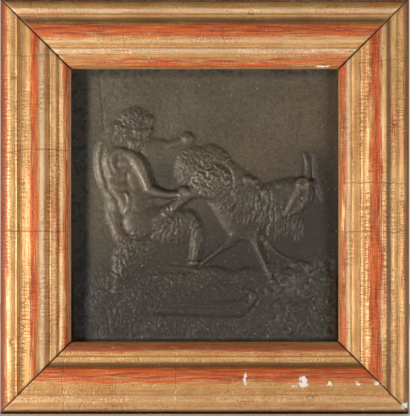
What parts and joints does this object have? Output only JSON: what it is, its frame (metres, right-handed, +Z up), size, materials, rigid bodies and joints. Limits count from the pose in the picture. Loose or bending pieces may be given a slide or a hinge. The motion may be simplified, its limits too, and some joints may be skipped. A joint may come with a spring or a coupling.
{
  "type": "relief plaque",
  "caption": "Square cast bronze relief plaque of a faun holding back a he-goat, in a wide mitred gilt wood frame, to hang flat on a wall.",
  "frame": {"origin": "on the wall face, at the middle of the top rail's back", "axes": "+X to the viewer's right, +Z up, -Y out of the wall towards the viewer"},
  "size_m": [0.305, 0.0282, 0.309],
  "materials": {
    "patinated_bronze": "cast bronze with a dark olive-brown patina",
    "worn_gilding": "water gilding on gesso, worn through to red bole"
  },
  "bodies": {
    "root": {"relief_plaque": "patinated_bronze", "frame_top_rail": "worn_gilding", "frame_bottom_rail": "worn_gilding", "frame_left_rail": "worn_gilding", "frame_right_rail": "worn_gilding"}
  },
  "joints": []
}
